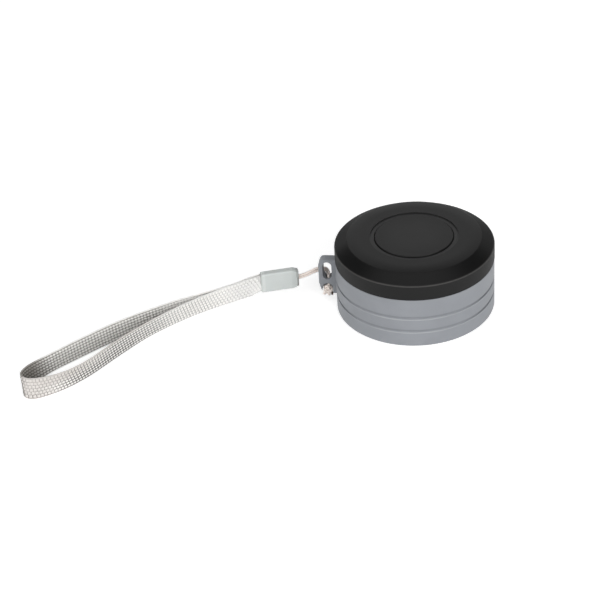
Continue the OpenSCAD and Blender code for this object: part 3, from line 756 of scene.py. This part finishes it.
def web_ground(name, start, sign, total, finish):
    """The ground of a run: a flat band with rounded edges."""
    s = start + sign * np.linspace(0, total, int(total / GROUND_STEP) + 1)
    h = GROUND_HALF
    shares = (0.03, 0.35, 0.65, 0.97)
    outline = ([(v, h) for v in shares] + [(0.993, 0.75 * h), (1.0, 0.0), (0.993, -0.75 * h)]
               + [(v, -h) for v in shares[::-1]]
               + [(0.007, -0.75 * h), (0.0, 0.0), (0.007, 0.75 * h)])
    if sign < 0:
        outline = outline[::-1]
    rings = np.stack([webbing.line(s, v, height) for v, height in outline], 1)
    faces, uv = ring_faces(len(s), len(outline), False)
    uv[:, 0] *= total / (len(s) - 1)
    uv[:, 1] = np.array([v for v, _ in outline])[uv[:, 1].astype(int) % len(outline)]
    return piece(name, rings.reshape(-1, 3), faces, finish, uv)


def float_seats(start, sign, total, weave):
    """Seats of the yarn floats on both faces of a run, and the way that each float lies."""
    seats, lie = [], {"along": [], "out": [], "size": []}
    first = WEB_GRIP + FLOAT_GAP
    pitch = (total - first) / RUN_ROWS
    for i in range(RUN_ROWS):
        turned = rising(i, RUN_ROWS - END_ROWS, RUN_ROWS)
        lean = weave.lean + (weave.end_lean - weave.lean) * turned
        for j in range(WARP_ENDS):
            share = FIRST_WARP + (weave.top - FIRST_WARP) * (j + 0.5) / WARP_ENDS
            d = first + (i + 0.5) * pitch + (share - 0.5) * WEB_W * lean
            low, across, along, out = webbing.section(start + sign * max(0.0, d))
            place = low + across * share
            long, wide = weave.float_size(place[0], share)
            for side in (1, -1):
                seats.append(place + out * side * (GROUND_HALF - FLOAT_SINK))
                lie["along"].append(along * math.cos(weave.tilt)
                                    + unit(across) * math.sin(weave.tilt))
                lie["out"].append(out * side)
                lie["size"].append((long, wide, 1))
    return seats, lie


def selvedge(name, start, sign, total, edge, inward):
    """The mesh of the flat yarn along one edge of a run."""
    s = start + sign * np.linspace(WEB_GRIP + SELVEDGE_GAP, total, int(total / SELVEDGE_STEP))
    low, across, _, out = webbing.section(s)
    line = low + across * edge + unit(across) * inward * SELVEDGE_W
    turn = 2 * math.pi * np.arange(SELVEDGE_SIDES) / SELVEDGE_SIDES
    ripple = 1 + 0.1 * np.cos(2 * math.pi * (s - start) / WARP_PITCH)
    rings = (line[:, None] + SELVEDGE_W * np.cos(turn)[None, :, None] * unit(across)[:, None]
             + SELVEDGE_T * (ripple[:, None] * np.sin(turn))[..., None] * out[:, None])
    faces, uv = ring_faces(len(s), SELVEDGE_SIDES, False)
    if sign > 0:
        faces, uv = turned_over(faces, uv)
    return smooth_mesh(name, rings.reshape(-1, 3), faces, uv * np.array([0.3, 0.25]))


def webbing_run(name, start, end, weave, maker, ground, yarn, edging):
    """One run of the loop, from the clamp (start) to the loop's end (end), as one mesh."""
    sign = 1 if end > start else -1
    total = abs(end - start)
    base = web_ground(name, start, sign, total, ground)
    seats, lie = float_seats(start, sign, total, weave)
    woven = modelled(maker, name + "_floats", seats, lie,
                     {"Float length": FLOAT_L * MM, "Float width": FLOAT_W * MM,
                      "Crown": FLOAT_CROWN * MM}, yarn)
    joined(base, woven, yarn)
    for edge, inward in ((0.0, 1), (1.0, -1)):
        joined(base, selvedge(name + "_selvedge", start, sign, total, edge, inward), edging)
    return base


# Painted light and shade of the webbing by place, as tones: those low on its width, then those high
# on it
front_yarn = yarn_finish(
    "web_yarn_front",
    [colour(222, 217, 213), (-126, 5.0, colour(250, 248, 245)), (-69, 5.0, colour(235, 234, 232))],
    [colour(222, 217, 213), (-112, 9.0, colour(251, 249, 246)), (-69, 5.0, colour(235, 234, 232))])
front_edging = yarn_finish(
    "web_selvedge_front",
    [colour(212, 207, 203), (-119, 6.0, colour(172, 170, 167)), (-102, 6.0, colour(240, 239, 237))],
    [colour(214, 209, 205), (-92, 10.0, colour(238, 237, 235)), (-69, 5.0, colour(215, 214, 212))])
back_yarn_tones = [colour(150, 146, 140), (-132, 3.0, colour(254, 253, 250))]
back_yarn = yarn_finish("web_yarn_back", back_yarn_tones, back_yarn_tones)
front_ground = ground_finish(
    "web_ground_front",
    [colour(174, 168, 164), (-122, 8.0, colour(110, 108, 105)), (-97, 10.0, colour(190, 189, 187)),
     (-78, 8.0, colour(222, 221, 219))],
    [colour(186, 180, 176), (-120, 8.0, colour(139, 137, 134)), (-97, 8.0, colour(190, 189, 187)),
     (-78, 8.0, colour(224, 223, 221))])
back_ground_tones = [colour(110, 106, 101), (-131, 5.0, colour(187, 184, 180)),
                     (-92, 9.0, colour(239, 238, 236))]
back_ground = ground_finish("web_ground_back", back_ground_tones, back_ground_tones)
floats = float_maker()
half_run = webbing.length / 2
for name, start, weave, finishes in (
        ("webbing_front_run", 0.0,
         Weave(lean=0.33, end_lean=0.33, tilt=0.0, top=0.955, float_size=front_float),
         (front_ground, front_yarn, front_edging)),
        ("webbing_back_run", webbing.length,
         Weave(lean=0.10, end_lean=-0.33, tilt=-0.4, top=0.92, float_size=back_float),
         (back_ground, back_yarn, back_yarn))):
    run = webbing_run(name, start, half_run, weave, floats, *finishes)
    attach(run, "case")
    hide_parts("webbing")
    line = webbing.line(np.linspace(start, half_run, 60), 0.5, 0.0)

cord_yarn = cord_finish("cord", colour(252, 242, 235), colour(228, 213, 203))
strap_cord, cord_line = braided("strap_cord_braid", cord_route(), CORD_D, cord_yarn)

# The knot: its middle, the mean and the swing of its loops' radius, its depth, its height as a
# share of its width, and the cord's diameter in it
KNOT_AT = np.array([-33.45, -0.9, 5.0])
KNOT_R, KNOT_SWING, KNOT_DEPTH, KNOT_TALL, KNOT_CORD_D = 0.9, 0.45, 0.5, 1.2, 1.3
TAIL_D, SHADE_TAIL_D = 1.15, 0.9  # diameters of the cord's plain ends and of the dark one, which is painted shade


def knot_route():
    """A closed threefold knot, taller than wide."""
    a = np.radians(np.arange(0, 361, 3))
    far = KNOT_R + KNOT_SWING * np.cos(3 * a)
    return KNOT_AT + np.stack([far * np.cos(2 * a), KNOT_DEPTH * np.sin(3 * a),
                               KNOT_TALL * far * np.sin(2 * a)], -1)


cord_knot, _ = braided("cord_knot_braid", knot_route(), KNOT_CORD_D, cord_yarn,
                       closed=True, step=0.09)
# the dark cord end: painted shade beside the knot
shade_tail = cord_finish("cord_sealed_end", colour(104, 90, 82), colour(62, 52, 47))
tails = []
for k, (route, thick, finish) in enumerate((
        ([(-34.0, -1.2, 4.6), (-34.5, -1.45, 3.8), (-34.95, -1.55, 3.1)], TAIL_D, cord_yarn),
        ([(-33.3, -1.3, 4.2), (-33.1, -1.5, 3.5), (-32.9, -1.5, 2.8)], TAIL_D, cord_yarn),
        ([(-32.3, -1.0, 5.2), (-31.9, -1.2, 4.2), (-31.8, -1.2, 2.8)], SHADE_TAIL_D, shade_tail))):
    tail, _ = braided(f"cord_tail_{k + 1}", smooth(route, 8), thick, finish)
    tails.append(tail)
for made, cad in ((strap_cord, "strap_cord"), (cord_knot, "cord_knot")):
    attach(made, "case")
    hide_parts(cad)
for tail in tails:
    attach(tail, "case")


# The click mechanism

SPRING_R, SPRING_FOOT, SPRING_H, SPRING_TURNS = 14.0, 17.0, 9.1, 5
WIRE_R, WIRE_SIDES = 0.4, 12


def return_spring():
    """The coil, with half a turn lying flat at each end."""
    u = np.linspace(0, SPRING_TURNS, SPRING_TURNS * 64 + 1)
    rise = np.clip((u - 0.5) / (SPRING_TURNS - 1), 0, 1)
    route = np.stack([SPRING_R * np.cos(2 * math.pi * u), SPRING_R * np.sin(2 * math.pi * u),
                      SPRING_FOOT + WIRE_R + (SPRING_H - 2 * WIRE_R) * rise], -1)
    points = tube(route, WIRE_R, WIRE_SIDES)
    faces, uv = ring_faces(len(route), WIRE_SIDES, False)
    wire = steel_finish("spring_wire", colour(196, 198, 202), rough=0.28, stretch=(1.0, 1.0, 1.0))
    made = piece("return_spring_coil", points, faces, wire, uv)
    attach(made, "case")
    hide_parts("return_spring")
    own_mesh(made)


def click_dome():
    """The snap disc, turned from its section: it flattens under the plunger."""
    seat, rise, thick, rim, around = 15.2, 2.0, 0.35, 12.4, 64
    ball = (rim ** 2 + rise ** 2) / (2 * rise)
    r = np.linspace(0, rim, 25)
    under = seat + np.sqrt(ball ** 2 - r ** 2) - (ball - rise)
    over = np.maximum(seat + np.sqrt((ball + thick) ** 2 - r ** 2) - (ball - rise), under + 0.02)
    section = [*zip(r, over), *zip(r[::-1], under[::-1])]
    points = [(a * math.cos(t), a * math.sin(t), b)
              for t in np.arange(around) * 2 * math.pi / around for a, b in section[1:-1]]
    n = len(section) - 2
    top, low = len(points), len(points) + 1
    points += [(0, 0, section[0][1]), (0, 0, section[-1][1])]
    faces = []
    for i in range(around):
        k = (i + 1) % around
        faces += [(i * n + j, i * n + j + 1, k * n + j + 1, k * n + j) for j in range(n - 1)]
        faces += [(top, i * n, k * n), (low, k * n + n - 1, i * n + n - 1)]
    plate = steel_finish("dome_plate", colour(205, 207, 211), rough=0.22, stretch=(0.2, 4.0, 1.0))
    made = piece("click_dome_disc", points, faces, plate)
    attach(made, "case")
    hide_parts("click_dome")
    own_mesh(made)


return_spring()
click_dome()


# Finishes of the CAD pieces

def dress(name, finish):
    """Gives a CAD piece its finish."""
    node[name].data.materials.clear()
    node[name].data.materials.append(finish)


dress("body_shell", body_finish())
dress("base_cover", inner_finish("base_grey", colour(140, 143, 148)))
dress("cap", cap_finish("cap_black", rub=0.0))
dress("press_button", cap_finish("button_black", rub=0.05))
dress("sound_cup", inner_finish("inner_plastic", colour(222, 219, 211)))
dress("dome_retainer", inner_finish("retainer_plastic", colour(214, 211, 203)))
dress("case_screws", steel_finish("screw_steel", colour(180, 182, 186),
                                  rough=0.32, stretch=(1.0, 1.0, 4.0)))
clamp_plastic = clamp_finish()
dress("clamp_front", clamp_plastic)
dress("clamp_back", clamp_plastic)


# Floor and light

FLOOR_HALF, FLOOR_LIFT = 6.0, 0.60  # metres; the light that is added where the floor is seen
SKY = 0.10  # strength of the world where it is dark
HORIZON = (0.06, 0.24)  # sines of the elevations between which the pale room turns dark
BACK_WALL = (-0.13, 0.904, 0.407)  # towards the middle of the pale wall behind
WALL_EDGE = (0.88, 0.98)  # cosines of the angles from there between which the wall shows
WHITE, PAPER = (1, 1, 1, 1), (0.78, 0.78, 0.78, 1)
# Each lamp's name, azimuth, elevation, radiance, size and distance
LAMPS = (("softbox_right", -48, 24, 3.95, 1.0, 1.4), ("softbox_left", -140, 24, 2.3, 1.0, 1.4),
         ("softbox_top", -90, 70, 0.66, 2.0, 1.5))


def studio_floor():
    """A pale floor that keeps the shadow and comes out white where it is seen."""
    mesh = bpy.data.meshes.new("floor")
    r = FLOOR_HALF
    mesh.from_pydata([(-r, -r, 0), (r, -r, 0), (r, r, 0), (-r, r, 0)], [], [(0, 1, 2, 3)])
    floor = bpy.data.objects.new("floor", mesh)
    bpy.context.scene.collection.objects.link(floor)
    f = Finish("floor_white")
    seen = f.node("ShaderNodeLightPath", out="Is Camera Ray")
    for other in ("Is Glossy Ray", "Is Transmission Ray"):
        seen = f.maths("MAXIMUM", seen, f.node("ShaderNodeLightPath", out=other))
    paper = f.node("ShaderNodeBsdfDiffuse", {}, {"Color": PAPER})
    lit = f.node("ShaderNodeEmission", {}, {"Color": WHITE, "Strength": seen * FLOOR_LIFT})
    both = f.node("ShaderNodeAddShader", {}, {0: paper, 1: lit})
    f.node("ShaderNodeOutputMaterial", {}, {"Surface": both})
    mesh.materials.append(f.material)


def studio_light():
    """A room that is pale low down and behind, and three softboxes."""
    world = bpy.data.worlds.new("studio")
    bpy.context.scene.world = world
    world.use_nodes = True
    w = Nodes(world.node_tree)
    w.tree.nodes.clear()
    way = w.node("ShaderNodeTexCoord", out="Generated")
    lobe = w.node("ShaderNodeVectorMath", {"operation": "DOT_PRODUCT"},
                  {0: way, 1: BACK_WALL}, "Value")
    room = 1.0 - w.step(w.axis(way, "Z"), *HORIZON)
    pale = w.maths("MAXIMUM", room, w.step(lobe, *WALL_EDGE))
    back = w.node("ShaderNodeBackground", {},
                  {"Color": WHITE, "Strength": SKY + (1.0 - SKY) * pale})
    w.node("ShaderNodeOutputWorld", {}, {"Surface": back})
    for name, azimuth, elevation, radiance, size, far in LAMPS:
        data = bpy.data.lights.new(name, "AREA")
        data.shape, data.size = "SQUARE", size
        data.energy = radiance * math.pi * size * size
        lamp = bpy.data.objects.new(name, data)
        bpy.context.scene.collection.objects.link(lamp)
        a, e = math.radians(azimuth), math.radians(elevation)
        lamp.location = (far * math.cos(e) * math.cos(a), far * math.cos(e) * math.sin(a),
                         far * math.sin(e))
        lamp.rotation_euler = Vector(lamp.location).to_track_quat("Z", "Y").to_euler()


studio_floor()
studio_light()
bpy.context.scene.view_settings.view_transform = "Standard"

bpy.context.view_layer.update()
